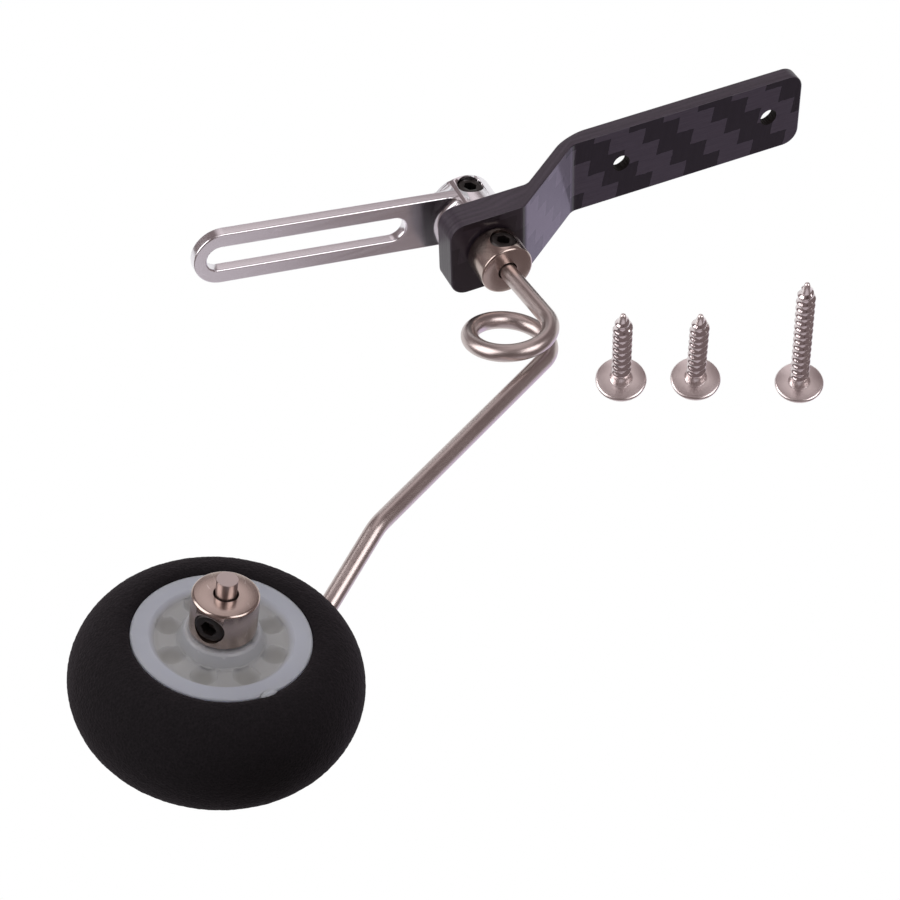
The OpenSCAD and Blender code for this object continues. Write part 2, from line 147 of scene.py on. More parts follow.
clear_selection()
bpy.ops.mesh.primitive_cube_add(size=1)
bracket = named("carbon_bracket")
bpy.ops.object.mode_set(mode="EDIT")
bpy.ops.transform.resize(value=((low_bend - heel) * MM, bracket_w * MM, end_t * MM))
bpy.ops.transform.translate(value=((low_bend + heel) / 2 * MM, 0, end_t / 2 * MM))
pick("VERT", lambda v: v.co.x > 0 and v.co.z > end_t / 2 * MM)
bpy.ops.transform.translate(value=(upper_lead * MM, 0, 0))
pick("FACE", lambda f: f.calc_center_median().x > low_bend * MM)
slant = ((high_bend - low_bend) * MM, 0, rise * MM)
bpy.ops.mesh.extrude_region_move(TRANSFORM_OT_translate={"value": slant})
pick("VERT", lambda v: v.co.z > (rise + plate_t) * MM)
bpy.ops.transform.translate(value=(-upper_lead * MM, 0, (plate_t - end_t) * MM))
pick("FACE", lambda f: f.calc_center_median().x > (high_bend - 1) * MM)
bpy.ops.mesh.extrude_region_move(TRANSFORM_OT_translate={"value": ((tip - high_bend) * MM, 0, 0)})


def across_at(edge, places):
    """Whether an edge runs across the bracket at one of some places in its side view."""
    start, end = edge.verts[0].co, edge.verts[1].co
    return abs(start.y - end.y) > 10 * MM and any(
        abs(start.x - x * MM) + abs(start.z - z * MM) < 0.1 * MM for x, z in places)


tight_bends = [(low_bend, 0), (low_bend + upper_lead, end_t), (high_bend, rise)]
pick("EDGE", lambda e: across_at(e, tight_bends))
bpy.ops.mesh.bevel(offset=bend_setback * MM, segments=8, affect="EDGES")
pick("EDGE", lambda e: across_at(e, [(high_bend, rise + plate_t)]))
bpy.ops.mesh.bevel(offset=shoulder_setback * MM, segments=24, affect="EDGES")
pick("EDGE", lambda e: abs(e.verts[0].co.z - e.verts[1].co.z) > 2 * MM and any(
    max(abs(v.co.x - x * MM) for v in e.verts) < 0.1 * MM for x in (heel, tip)))
bpy.ops.mesh.bevel(offset=corner_r * MM, segments=10, affect="EDGES")
soften(bracket, edge_r)
for x in screw_holes:
    combine(bracket, rod(screw_hole_r, 9, 17, at=(x, 0)), "DIFFERENCE")
    combine(bracket, rod(1.6, sink_low, sink_high, at=(x, 0), end_radius=sink_r), "DIFFERENCE")
combine(bracket, rod(shaft_hole_r, -2, 8, at=(0, shaft_y)), "DIFFERENCE")
shade(bracket)


def along_bracket(x):
    """How far along the bent laminate a place on the bracket is, and how high its underside is there."""
    reach = high_bend - low_bend
    slope = math.hypot(reach, rise) / reach
    if x < low_bend:
        return x - reach * (slope - 1), 0
    if x < high_bend:
        return high_bend + (x - high_bend) * slope, (x - low_bend) * rise / reach
    return x, rise


mesh = bmesh.new()
mesh.from_mesh(bracket.data)
laminate = mesh.loops.layers.uv.new("laminate")
for face in mesh.faces:
    cut_edge = abs(face.normal.y) > 0.35 or face.normal.x < -0.6 or face.normal.x > 0.75
    middle = face.calc_center_median() / MM
    in_hole = any(math.hypot(middle.x - x, middle.y) < 2.2 for x in screw_holes)
    face.material_index = 2 if in_hole else 1 if cut_edge else 0
    for loop in face.loops:
        x, y, z = loop.vert.co / MM
        run, under = along_bracket(x)
        loop[laminate].uv = (run * MM + BRACKET_END.x, (z - under if cut_edge else y) * MM)
mesh.to_mesh(bracket.data)
mesh.free()
put(bracket, Matrix.Translation(BRACKET_END))


def add(tree, kind, inputs=None, **settings):
    """Adds a shader node, sets its settings, and sets or links its inputs."""
    made = tree.nodes.new("ShaderNode" + kind)
    for key, value in settings.items():
        setattr(made, key, value)
    for key, value in (inputs or {}).items():
        if isinstance(value, bpy.types.NodeSocket):
            tree.links.new(value, made.inputs[key])
        else:
            made.inputs[key].default_value = value
    return made


def calc(tree, operation, *values):
    """Adds a Math node on numbers and sockets and returns its result."""
    return add(tree, "Math", dict(enumerate(values)), operation=operation).outputs[0]


def tint(tree, share, low, high):
    """Adds a Mix node between two colours and returns its result."""
    return add(tree, "Mix", {0: share, 6: low, 7: high}, data_type="RGBA").outputs[2]


def finish(name):
    """A new material with its node tree and its shader."""
    material = bpy.data.materials.new(name)
    material.use_nodes = True
    return material, material.node_tree, material.node_tree.nodes["Principled BSDF"]


def hook(tree, source, shader, socket):
    """Links a result to an input of a shader."""
    tree.links.new(source, shader.inputs[socket])


def grain(tree, scale, detail):
    """Adds fine noise on the piece's own coordinates and returns its value."""
    where = add(tree, "TexCoord").outputs["Object"]
    return add(tree, "TexNoise", {"Vector": where, "Scale": scale, "Detail": detail}).outputs[0]


# The lacquered twill: tows over and under each other in pairs, one way a little lighter than the other.
tow_along, tow_across = 3.45, 3.5
carbon_twill, tree, shader = finish("carbon_twill")
laminate_uv = add(tree, "UVMap", uv_map="laminate").outputs["UV"]
wander = add(tree, "TexNoise", {"Vector": laminate_uv, "Scale": 900, "Detail": 2}).outputs[0]
wander = calc(tree, "MULTIPLY", calc(tree, "SUBTRACT", wander, 0.5), 0.35 * MM)
at = add(tree, "SeparateXYZ", {0: laminate_uv})
along, across = at.outputs[0], at.outputs[1]
skewed = calc(tree, "ADD", calc(tree, "MULTIPLY_ADD", across, 0.16, along), wander)
column = calc(tree, "DIVIDE", calc(tree, "ADD", skewed, 7.9 * MM), tow_along * MM)
row = calc(tree, "DIVIDE", calc(tree, "ADD", calc(tree, "ADD", across, wander), 2.9 * MM), tow_across * MM)
step = calc(tree, "SUBTRACT", calc(tree, "FLOOR", column), calc(tree, "FLOOR", row))
over = calc(tree, "LESS_THAN", calc(tree, "FLOORED_MODULO", step, 4.0), 2.0)
lengthwise = add(tree, "CombineXYZ", {0: calc(tree, "MULTIPLY", along, 160.0),
                                      1: calc(tree, "MULTIPLY", across, 5200.0)}).outputs[0]
crosswise = add(tree, "CombineXYZ", {0: calc(tree, "MULTIPLY", skewed, 5200.0),
                                     1: calc(tree, "MULTIPLY", across, 160.0)}).outputs[0]
fibre_l = add(tree, "TexNoise", {"Vector": lengthwise, "Scale": 1, "Detail": 3}).outputs[0]
fibre_c = add(tree, "TexNoise", {"Vector": crosswise, "Scale": 1, "Detail": 3}).outputs[0]
fibre = add(tree, "Mix", {0: over, 2: fibre_l, 3: fibre_c}).outputs[0]
light_tow = tint(tree, fibre, (0.055, 0.041, 0.060, 1), (0.125, 0.097, 0.134, 1))
dark_tow = tint(tree, fibre, (0.014, 0.009, 0.018, 1), (0.032, 0.023, 0.038, 1))
# On the thick end the weave fades into an even dark tone.
on_plate = add(tree, "MapRange", {"Value": along, "From Min": -44.5 * MM, "From Max": -41.0 * MM},
               interpolation_type="SMOOTHSTEP").outputs[0]
tow = tint(tree, over, light_tow, dark_tow)
dark_end = tint(tree, 0.18, (0.026, 0.016, 0.021, 1), tow)
hook(tree, tint(tree, on_plate, dark_end, tow), shader, "Base Color")
crown_r = calc(tree, "PINGPONG", row, 0.5)
crown_c = calc(tree, "PINGPONG", column, 0.5)
crown = add(tree, "Mix", {0: over, 2: crown_r, 3: crown_c}).outputs[0]
height = calc(tree, "MULTIPLY_ADD", fibre, 0.25, crown)
bump = add(tree, "Bump", {"Height": height, "Strength": 0.35, "Distance": 0.06 * MM})
hook(tree, bump.outputs[0], shader, "Normal")
hook(tree, calc(tree, "MULTIPLY_ADD", fibre, 0.2, 0.36), shader, "Roughness")
shader.inputs["Coat Weight"].default_value = 1.0
shader.inputs["Coat Roughness"].default_value = 0.09
shader.inputs["Coat IOR"].default_value = 1.33
shader.inputs["Specular IOR Level"].default_value = 0.12

# The cut edges: bare plies one on another, dull and slightly brown.
carbon_plies, tree, shader = finish("carbon_plies")
laminate_uv = add(tree, "UVMap", uv_map="laminate").outputs["UV"]
at = add(tree, "SeparateXYZ", {0: laminate_uv})
drift = add(tree, "TexNoise", {"Vector": laminate_uv, "Scale": 260, "Detail": 2}).outputs[0]
strokes = add(tree, "CombineXYZ", {0: calc(tree, "MULTIPLY", at.outputs[0], 90.0),
                                   1: calc(tree, "MULTIPLY", at.outputs[1], 1500.0)}).outputs[0]
sanded = add(tree, "TexNoise", {"Vector": strokes, "Scale": 1, "Detail": 4}).outputs[0]
ply = calc(tree, "MULTIPLY_ADD", drift, 0.8, calc(tree, "MULTIPLY", at.outputs[1], 1000.0))
ply = calc(tree, "MULTIPLY_ADD", calc(tree, "PINGPONG", ply, 0.5), 0.4, calc(tree, "SUBTRACT", sanded, 0.15))
grit = grain(tree, 2600, 3)
edge_tone = tint(tree, calc(tree, "MULTIPLY_ADD", grit, 0.5, ply),
                 (0.020, 0.014, 0.019, 1), (0.095, 0.071, 0.095, 1))
hook(tree, edge_tone, shader, "Base Color")
bump = add(tree, "Bump", {"Height": calc(tree, "ADD", ply, grit), "Strength": 0.3, "Distance": 0.04 * MM})
hook(tree, bump.outputs[0], shader, "Normal")
hook(tree, calc(tree, "MULTIPLY_ADD", grit, 0.2, 0.30), shader, "Roughness")
shader.inputs["Specular IOR Level"].default_value = 0.35

# The drilled holes: torn fibre ends without gloss, painted near black as shade inside the holes.
drilled_carbon_shade, tree, shader = finish("drilled_carbon_shade")
grit = grain(tree, 2600, 3)
hook(tree, tint(tree, grit, (0.003, 0.002, 0.002, 1), (0.020, 0.012, 0.011, 1)), shader, "Base Color")
shader.inputs["Roughness"].default_value = 0.7
shader.inputs["Specular IOR Level"].default_value = 0.15
for made in (carbon_twill, carbon_plies, drilled_carbon_shade):
    bracket.data.materials.append(made)
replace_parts(bracket, "bracket")
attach(bracket, "mount")


# Bush: a plain turned bronze sleeve, pressed into the bracket's thick end, that the wire turns in. Only its
# two end rings show, around the wire above and below the bracket.
bronze, tree, shader = finish("turned_bronze")
spot = grain(tree, 900, 4)
hook(tree, tint(tree, spot, (0.42, 0.29, 0.15, 1), (0.60, 0.44, 0.24, 1)), shader, "Base Color")
hook(tree, calc(tree, "MULTIPLY_ADD", spot, 0.2, 0.25), shader, "Roughness")
shader.inputs["Metallic"].default_value = 1.0
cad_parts["shaft_bush"].data.materials[0] = bronze


# Spring strut: one length of plated steel spring wire. From its straight top it winds one coil, runs aft and
# down as the leg, sets over to the side of the wheel and turns across it as the axle. It is drawn in three
# lengths; the coil between the shaft and the leg is attached to no body.
steer_turn = 8.8
STEERED = Matrix.Translation(SHAFT_FOOT) @ Matrix.Rotation(math.radians(steer_turn), 4, "Z")
WIRE_R = 1.5
shaft_high, leg_run, leg_tail, leg_bend_r, axle_bend_r = 13.9, 49.6, 7.8, 6, 4.5
KINK = Vector((0, 0, -7.4))
LEAN = (Matrix.Rotation(math.radians(-4.1), 3, "Z") @ Matrix.Rotation(math.radians(-1.9), 3, "Y")
        @ Matrix.Rotation(math.radians(-4.8), 3, "X"))
coil_r, coil_drop, coil_step, pitch = 6.7, 20.5, 4.5, math.radians(31.1)
coil_turn = math.tau + math.pi / 2 - pitch
WHEEL = Vector((-79.4, 0.8, -78.1))
AXLE = (Matrix.Rotation(math.radians(2.2), 3, "Z") @ Matrix.Rotation(math.radians(-92.9), 3, "X")).to_4x4()
axle_dir = AXLE.to_3x3() @ Vector((0, 0, 1))
axle_tip, axle_end = -19.2, 16.9


def leaned(x, y, z):
    """Place in the coil's own frame, which leans about the slight bend under the collar."""
    return KINK + LEAN @ (Vector((x, y, z)) - KINK)


def coil_point(a):
    """Place of the wire's middle after a turn of the coil, easing into and out of its sideways step."""
    t = a / coil_turn
    return leaned(-coil_r + coil_r * math.cos(a), coil_step * (t - math.sin(math.tau * t) / math.tau),
                  -coil_drop - coil_r * math.sin(a))


def wire_bend(a, b, c, radius, steps):
    """Points of the wire's bend at b, on its way from a to c."""
    u, v = (b - a).normalized(), (c - b).normalized()
    turn = u.angle(v)
    across = (v - u * math.cos(turn)).normalized()
    start = b - u * radius * math.tan(turn / 2)
    angles = [turn * i / steps for i in range(steps + 1)]
    return [start + radius * (math.sin(t) * u + (1 - math.cos(t)) * across) for t in angles]


def wire(name, points):
    """A length of wire through points, each with a share of the full radius, ending in flat cuts."""
    clear_selection()
    curve = bpy.data.curves.new(name, "CURVE")
    curve.dimensions = "3D"
    curve.bevel_depth = WIRE_R * MM
    curve.bevel_resolution = 10
    curve.use_fill_caps = True
    curve.twist_mode = "MINIMUM"
    spline = curve.splines.new("POLY")
    spline.points.add(len(points) - 1)
    for knot, (place, share) in zip(spline.points, points):
        knot.co = (*(place * MM), 1)
        knot.radius = share
    made = bpy.data.objects.new(name, curve)
    bpy.context.scene.collection.objects.link(made)
    activate(made)
    bpy.ops.object.convert(target="MESH")
    made = named(name)
    bpy.ops.object.mode_set(mode="EDIT")
    bpy.ops.mesh.select_all(action="SELECT")
    bpy.ops.mesh.remove_doubles(threshold=1e-7)
    bpy.ops.mesh.normals_make_consistent(inside=False)
    bpy.ops.object.mode_set(mode="OBJECT")
    return made


def end_chamfer(piece, at, depth):
    """Chamfers the cut end of a wire that lies at a place."""
    activate(piece)
    bpy.ops.object.mode_set(mode="EDIT")
    pick("FACE", lambda f: len(f.verts) > 8 and (f.calc_center_median() - at * MM).length < 0.2 * MM)
    bpy.ops.mesh.region_to_loop()
    bpy.ops.mesh.bevel(offset=depth * MM, segments=2, affect="EDGES")
    bpy.ops.object.mode_set(mode="OBJECT")


kink = wire_bend(Vector((0, 0, 0)), KINK, leaned(0, 0, -coil_drop), 12, 5)
shaft_foot = kink[0]
shaft_wire = wire("shaft_wire", [(Vector((0, 0, z)), 1) for z in (shaft_high, 5, 0, shaft_foot.z)])
end_chamfer(shaft_wire, Vector((0, 0, shaft_high)), 0.25)
leg_start, leg_dir = coil_point(coil_turn), LEAN @ Vector((-math.cos(pitch), 0, -math.sin(pitch)))
turns = kink + [coil_point(coil_turn * i / 110) for i in range(111)]
up = Vector((0, 0, 1))
coil_wire = wire("coil_wire", [(shaft_foot + up * 2.5, 0.97), (shaft_foot + up * 0.02, 0.97)]
                 + [(p, 1) for p in turns]
                 + [(leg_start + leg_dir * 0.02, 0.97), (leg_start + leg_dir * 2.5, 0.97)])
corner = WHEEL + axle_dir * (axle_end + axle_bend_r / math.tan(leg_dir.angle(axle_dir) / 2))
leg_out, leg_back = leg_start + leg_dir * leg_run, corner - leg_dir * leg_tail
leg_points = [leg_start, leg_start + leg_dir * 20]
leg_points += wire_bend(leg_start, leg_out, leg_back, leg_bend_r, 10)
leg_points += wire_bend(leg_out, leg_back, corner, leg_bend_r, 10)
leg_points += wire_bend(leg_back, corner, WHEEL, axle_bend_r, 18)
leg_points += [WHEEL + axle_dir * y for y in (10, 0, -10, axle_tip)]
leg_wire = wire("leg_wire", [(p, 1) for p in leg_points])
end_chamfer(leg_wire, WHEEL + axle_dir * axle_tip, 0.3)

# Small marks that handling leaves on bare metal: a patchy sheen and fine scratches.
handling = bpy.data.node_groups.new("handling_marks", "ShaderNodeTree")
handling.interface.new_socket("Vector", in_out="INPUT", socket_type="NodeSocketVector")
handling.interface.new_socket("Scale", in_out="INPUT", socket_type="NodeSocketFloat")
handling.interface.new_socket("Patches", in_out="OUTPUT", socket_type="NodeSocketFloat")
handling.interface.new_socket("Scratches", in_out="OUTPUT", socket_type="NodeSocketFloat")
given = handling.nodes.new("NodeGroupInput").outputs
patch = add(handling, "TexNoise", {"Vector": given["Vector"], "Scale": given["Scale"], "Detail": 5,
                                   "Roughness": 0.6}).outputs[0]
drawn_out = add(handling, "VectorMath", {0: given["Vector"], 1: (1.0, 0.23, 0.11)}, operation="MULTIPLY")
lines = add(handling, "TexVoronoi", {"Vector": drawn_out.outputs[0],
                                     "Scale": calc(handling, "MULTIPLY", given["Scale"], 2.6),
                                     "Randomness": 1.0}, feature="DISTANCE_TO_EDGE").outputs[0]
lines = calc(handling, "LESS_THAN", lines, 0.012)
broken = calc(handling, "GREATER_THAN", patch, 0.56)
result = handling.nodes.new("NodeGroupOutput")
handling.links.new(patch, result.inputs["Patches"])
handling.links.new(calc(handling, "MULTIPLY", lines, broken), result.inputs["Scratches"])


def marks(tree, scale):
    """Places the handling marks in a material, on the piece's own coordinates."""
    made = tree.nodes.new("ShaderNodeGroup")
    made.node_tree = handling
    tree.links.new(add(tree, "TexCoord").outputs["Object"], made.inputs["Vector"])
    made.inputs["Scale"].default_value = scale
    return made.outputs


def scratched(tree, worn, share, tone, bare):
    """A tone with the scratches over it, as a share of the tone that they lay bare."""
    return tint(tree, calc(tree, "MULTIPLY", worn["Scratches"], share), tone, bare)


plated_wire, tree, shader = finish("plated_wire")
worn = marks(tree, 160)
tone = tint(tree, worn["Patches"], (0.48, 0.415, 0.40, 1), (0.60, 0.525, 0.51, 1))
hook(tree, scratched(tree, worn, 0.4, tone, (0.62, 0.55, 0.52, 1)), shader, "Base Color")
hook(tree, calc(tree, "MULTIPLY_ADD", worn["Patches"], 0.14, 0.25), shader, "Roughness")
shader.inputs["Metallic"].default_value = 1.0
for length in (shaft_wire, coil_wire, leg_wire):
    length.data.materials.append(plated_wire)
    activate(length)
    bpy.ops.object.shade_smooth_by_angle(angle=math.radians(35))
    put(length, STEERED)
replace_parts(shaft_wire, "strut_shaft")
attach(shaft_wire, "steering")
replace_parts(coil_wire, "spring_coil")
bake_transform(coil_wire)
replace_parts(leg_wire, "strut_leg", "axle")
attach(leg_wire, "leg")


# Collars: turned steel rings, nickel plated, each chamfered at both ends and drilled across for a set screw.
# One sits on the shaft under the bracket, and two sit on the axle, one at each side of the wheel.
collar_long, collar_drop, collar_off, cross_hole_r = 6.3, 6.6, 10.3, 2.33


def lathe(name, section, steps=96):
    """Spins a half section, given as radius and height in millimetres, about the Z axis."""
    clear_selection()
    bpy.ops.mesh.primitive_plane_add(size=MM)
    made = named(name)
    bpy.ops.object.mode_set(mode="EDIT")
    bpy.ops.mesh.select_mode(type="VERT")
    bpy.ops.mesh.merge(type="CENTER")
    bpy.ops.transform.translate(value=(section[0][0] * MM, 0, section[0][1] * MM))
    for (r0, z0), (r1, z1) in zip(section, section[1:]):
        move = ((r1 - r0) * MM, 0, (z1 - z0) * MM)
        bpy.ops.mesh.extrude_region_move(TRANSFORM_OT_translate={"value": move})
    bpy.ops.mesh.select_all(action="SELECT")
    bpy.ops.mesh.spin(steps=steps, angle=math.tau, center=(0, 0, 0), axis=(0, 0, 1))
    bpy.ops.mesh.select_all(action="SELECT")
    bpy.ops.mesh.remove_doubles(threshold=0.001 * MM)
    bpy.ops.mesh.normals_make_consistent(inside=False)
    bpy.ops.object.mode_set(mode="OBJECT")
    return made


def turned_map(piece):
    """Gives a turned piece, still on the Z axis, a map of its radius and height for the tool's marks."""
    mesh = bmesh.new()
    mesh.from_mesh(piece.data)
    layer = mesh.loops.layers.uv.get("turned") or mesh.loops.layers.uv.new("turned")
    for face in mesh.faces:
        for loop in face.loops:
            loop[layer].uv = (math.hypot(loop.vert.co.x, loop.vert.co.y), loop.vert.co.z)
    mesh.to_mesh(piece.data)
    mesh.free()


def across_x(shape):
    """Lays a shape that stands on Z along +X."""
    put(shape, Matrix.Rotation(math.pi / 2, 4, "Y"))
    return shape


mid_collar = Matrix.Translation((0, 0, collar_long / 2 * MM))


def collar(name, place):
    """A collar on the Z axis with its cross hole along +X, moved to its place."""
    half = [(1.53, 2.5), (1.53, 0.9), (1.57, 0.76), (1.66, 0.66), (1.70, 0.5), (1.71, 0.2), (1.73, 0.07),
            (1.78, 0.01), (1.86, 0), (4.35, 0), (4.52, 0.06), (4.69, 0.23), (4.75, 0.4)]
    other_half = [(r, collar_long - z) for r, z in reversed(half)]
    made = lathe(name, half + other_half + half[:1], steps=128)
    hole = across_x(rod(cross_hole_r, 0, 6))
    put(hole, mid_collar)
    combine(made, hole, "DIFFERENCE")
    soften(made, 0.07, angle=50, segments=2)
    turned_map(made)
    put(made, place)
    made.data.materials.append(nickel)
    return made


# Lines left by the turning tool, on rings of equal radius and along equal heights.
tool_lines = bpy.data.node_groups.new("tool_lines", "ShaderNodeTree")
tool_lines.interface.new_socket("Map", in_out="INPUT", socket_type="NodeSocketVector")
tool_lines.interface.new_socket("Fineness", in_out="INPUT", socket_type="NodeSocketFloat")
tool_lines.interface.new_socket("Lines", in_out="OUTPUT", socket_type="NodeSocketFloat")
given = tool_lines.nodes.new("NodeGroupInput").outputs
at = add(tool_lines, "SeparateXYZ", {0: given["Map"]})
feed = calc(tool_lines, "MULTIPLY", calc(tool_lines, "ADD", at.outputs[0], at.outputs[1]), given["Fineness"])
lines = add(tool_lines, "TexNoise", {"W": feed, "Scale": 1, "Detail": 3}, noise_dimensions="1D").outputs[0]
result = tool_lines.nodes.new("NodeGroupOutput")
tool_lines.links.new(lines, result.inputs["Lines"])


def turned(tree, fineness):
    """Places the tool lines in a material, on the piece's turned map."""
    made = tree.nodes.new("ShaderNodeGroup")
    made.node_tree = tool_lines
    tree.links.new(add(tree, "UVMap", uv_map="turned").outputs["UV"], made.inputs["Map"])
    made.inputs["Fineness"].default_value = fineness
    return made.outputs["Lines"]


nickel, tree, shader = finish("nickel_plate")
worn = marks(tree, 200)
rings = turned(tree, 7000)
tone = tint(tree, calc(tree, "MULTIPLY_ADD", rings, 0.7, calc(tree, "MULTIPLY", worn["Patches"], 0.3)),
            (0.415, 0.335, 0.305, 1), (0.535, 0.445, 0.405, 1))
hook(tree, scratched(tree, worn, 0.5, tone, (0.70, 0.63, 0.59, 1)), shader, "Base Color")
hook(tree, calc(tree, "MULTIPLY_ADD", rings, 0.12, 0.16), shader, "Roughness")
bump = add(tree, "Bump", {"Height": rings, "Strength": 0.05, "Distance": 0.02 * MM})
hook(tree, bump.outputs[0], shader, "Normal")
shader.inputs["Metallic"].default_value = 1.0


def on_axle(y, turn):
    """Place of a piece on the axle: its Z axis along the axle, and turned about it."""
    return (STEERED @ Matrix.Translation(WHEEL * MM) @ AXLE @ Matrix.Translation((0, 0, y * MM))
            @ Matrix.Rotation(turn, 4, "Z"))


KEY_TURN = math.radians(140)
SIDEWAYS = Matrix.Rotation(-math.pi / 2, 4, "Z")
collar_places = {
    "steering_collar": STEERED @ Matrix.Translation((0, 0, -collar_drop * MM)) @ SIDEWAYS,
    "inner_wheel_collar": on_axle(collar_off, KEY_TURN),
    "outer_wheel_collar": on_axle(-collar_off - collar_long, KEY_TURN),
}
collar_bodies = {"steering_collar": "steering", "inner_wheel_collar": "leg", "outer_wheel_collar": "leg"}
for node, place in collar_places.items():
    made = collar(node.replace("collar", "ring"), place)
    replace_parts(made, node)
    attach(made, collar_bodies[node])


# Set screws: headless black-oxide steel screws with a hexagon socket, driven across the collars and the
# tiller's hub until they bear on the wire. Their heads sit a little below the surface.
set_screw_r, socket_r, collar_screw_top, tiller_screw_top = 2.3, 1.2, 4.45, 5.5


def set_screw(name, top, place):
    """A set screw along +X from the wire to its sunk head, moved to its place."""
    made = lathe(name, [(0, 1.53), (1.75, 1.53), (set_screw_r, 2.05), (set_screw_r, top - 0.4), (1.95, top),
                        (0, top)], steps=64)
    combine(made, rod(socket_r, top - 1.5, top + 1, vertices=6), "DIFFERENCE")
    combine(made, rod(0.15, top - 2.0, top - 1.45, end_radius=1.0, vertices=24), "DIFFERENCE")
    soften(made, 0.06, angle=30, segments=2)
    turned_map(made)
    across_x(made)
    put(made, place)
    made.data.materials.append(black_oxide)
    return made


black_oxide, tree, shader = finish("black_oxide")
worn = marks(tree, 700)
rings = turned(tree, 6000)
tone = tint(tree, worn["Patches"], (0.012, 0.009, 0.008, 1), (0.035, 0.027, 0.025, 1))
hook(tree, tint(tree, worn["Scratches"], tone, (0.12, 0.11, 0.10, 1)), shader, "Base Color")
hook(tree, calc(tree, "MULTIPLY_ADD", rings, 0.2, 0.22), shader, "Roughness")
shader.inputs["Metallic"].default_value = 0.55
shader.inputs["Specular IOR Level"].default_value = 0.6
for node, place in collar_places.items():
    screw = node.replace("wheel_", "").replace("collar", "collar_set_screw")
    screw = screw.replace("steering_collar_set_screw", "steering_set_screw")
    made = set_screw(screw.replace("set_screw", "grub_screw"), collar_screw_top, place @ mid_collar)
    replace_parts(made, screw)
    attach(made, collar_bodies[node])


# Tiller: an aluminium arm milled from the solid with a round hub that clamps on the top of the wire. A slot
# along the arm takes a screw from the rudder, and fillets run from the hub into the arm, above and below it.
arm_r, arm_far, arm_low, arm_high = 5.2, 46, 8.9, 11.0
slot_r, slot_near, slot_far = 2.4, 14.8, 46.5
hub_r, hub_low, hub_high, tiller_screw_z, tiller_turn = 6, 5.7, 13.5, 10.7, 1


def bar(radius, near, far, low, high):
    """A flat bar along -X with round ends about two places."""
    made = rod(radius, low, high, at=(-far, 0), vertices=96)
    bpy.ops.object.mode_set(mode="EDIT")
    pick("VERT", lambda v: v.co.x > -far * MM + 0.01 * MM)
    bpy.ops.transform.translate(value=((far - near) * MM, 0, 0))
    bpy.ops.object.mode_set(mode="OBJECT")
    return made


tiller = bar(arm_r, 0, arm_far, arm_low, arm_high)
tiller.name = tiller.data.name = "tiller"
combine(tiller, bar(slot_r, slot_near, slot_far, 7, 13), "DIFFERENCE")
soften(tiller, 0.3)
sweep = [(math.sin(math.radians(a)), math.cos(math.radians(a))) for a in range(90, -1, -6)]
below = [(7.4 - 1.5 * s, 7.4 + 1.5 * c) for s, c in sweep]
above = [(8.4 - 2.5 * s, 13.4 - 2.4 * c) for s, c in reversed(sweep)]
fillets = lathe("fillets", [(0, 6.5), (5.9, 6.5)] + below + [(7.4, 9.5), (8.4, 9.5)] + above
                + [(0, 13.4), (0, 6.5)], steps=128)
combine(fillets, bar(arm_r - 0.05, 0, arm_far, 5, 14.5), "INTERSECT")
combine(tiller, fillets, "UNION")
hub = lathe("hub", [(0, hub_low), (hub_r - 0.25, hub_low), (hub_r, hub_low + 0.25), (hub_r, hub_high - 0.3),
                    (hub_r - 0.3, hub_high), (0, hub_high)], steps=144)
combine(tiller, hub, "UNION")
combine(tiller, rod(1.53, 4, 15), "DIFFERENCE")
tiller_screw = Matrix.Translation((0, 0, tiller_screw_z * MM)) @ SIDEWAYS
hole = across_x(rod(cross_hole_r, 0, 8))
put(hole, tiller_screw)
combine(tiller, hole, "DIFFERENCE")
shade(tiller)
TILLER = STEERED @ Matrix.Rotation(math.radians(tiller_turn), 4, "Z")
put(tiller, TILLER)
satin, tree, shader = finish("satin_aluminium")
worn = marks(tree, 260)
brushed = add(tree, "Mapping", {"Vector": add(tree, "TexCoord").outputs["Object"],
                                "Rotation": (0, 0, math.radians(-steer_turn - tiller_turn)),
                                "Scale": (45, 1500, 1500)})
stroke = add(tree, "TexNoise", {"Vector": brushed.outputs[0], "Scale": 1, "Detail": 4}).outputs[0]
tone = tint(tree, calc(tree, "MULTIPLY_ADD", stroke, 0.6, calc(tree, "MULTIPLY", worn["Patches"], 0.4)),
            (0.70, 0.675, 0.71, 1), (0.84, 0.815, 0.85, 1))
hook(tree, scratched(tree, worn, 0.5, tone, (0.88, 0.86, 0.90, 1)), shader, "Base Color")
hook(tree, calc(tree, "MULTIPLY_ADD", stroke, 0.16, 0.12), shader, "Roughness")
bump = add(tree, "Bump", {"Height": stroke, "Strength": 0.04, "Distance": 0.02 * MM})
hook(tree, bump.outputs[0], shader, "Normal")
shader.inputs["Metallic"].default_value = 1.0
tiller.data.materials.append(satin)
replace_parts(tiller, "tiller_arm")
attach(tiller, "steering")
made = set_screw("tiller_grub_screw", tiller_screw_top, TILLER @ tiller_screw)
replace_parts(made, "tiller_set_screw")
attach(made, "steering")


# Wheel hub: two like halves moulded in translucent white nylon, with a rim, a recessed web with shallow round
# pockets and a boss around the axle. They meet in the middle of the tyre.
pockets, pocket_off, wheel_turn = 8, 7.7, math.radians(-5.7)
hub_section = [(1.55, 0), (5.4, 0), (5.4, 6.0), (10.0, 6.0), (10.0, 0), (11.4, 0), (11.4, 7.2), (12.7, 7.2),
               (12.7, 8.35), (12.62, 8.58), (12.4, 8.7), (10.4, 8.7), (10.15, 8.64), (9.75, 8.3), (9.4, 7.95),
               (9.0, 7.82), (8.6, 7.8), (6.7, 7.8), (6.3, 7.88), (5.95, 8.15), (5.7, 8.7), (5.55, 9.3),
               (5.4, 9.75), (5.15, 10.0), (1.55, 10.0), (1.55, 0)]
dish_section = [(0, 7.1), (0.5, 7.12), (1.0, 7.22), (1.4, 7.4), (1.7, 7.61), (1.95, 7.84), (2.05, 7.95),
                (0, 7.95)]


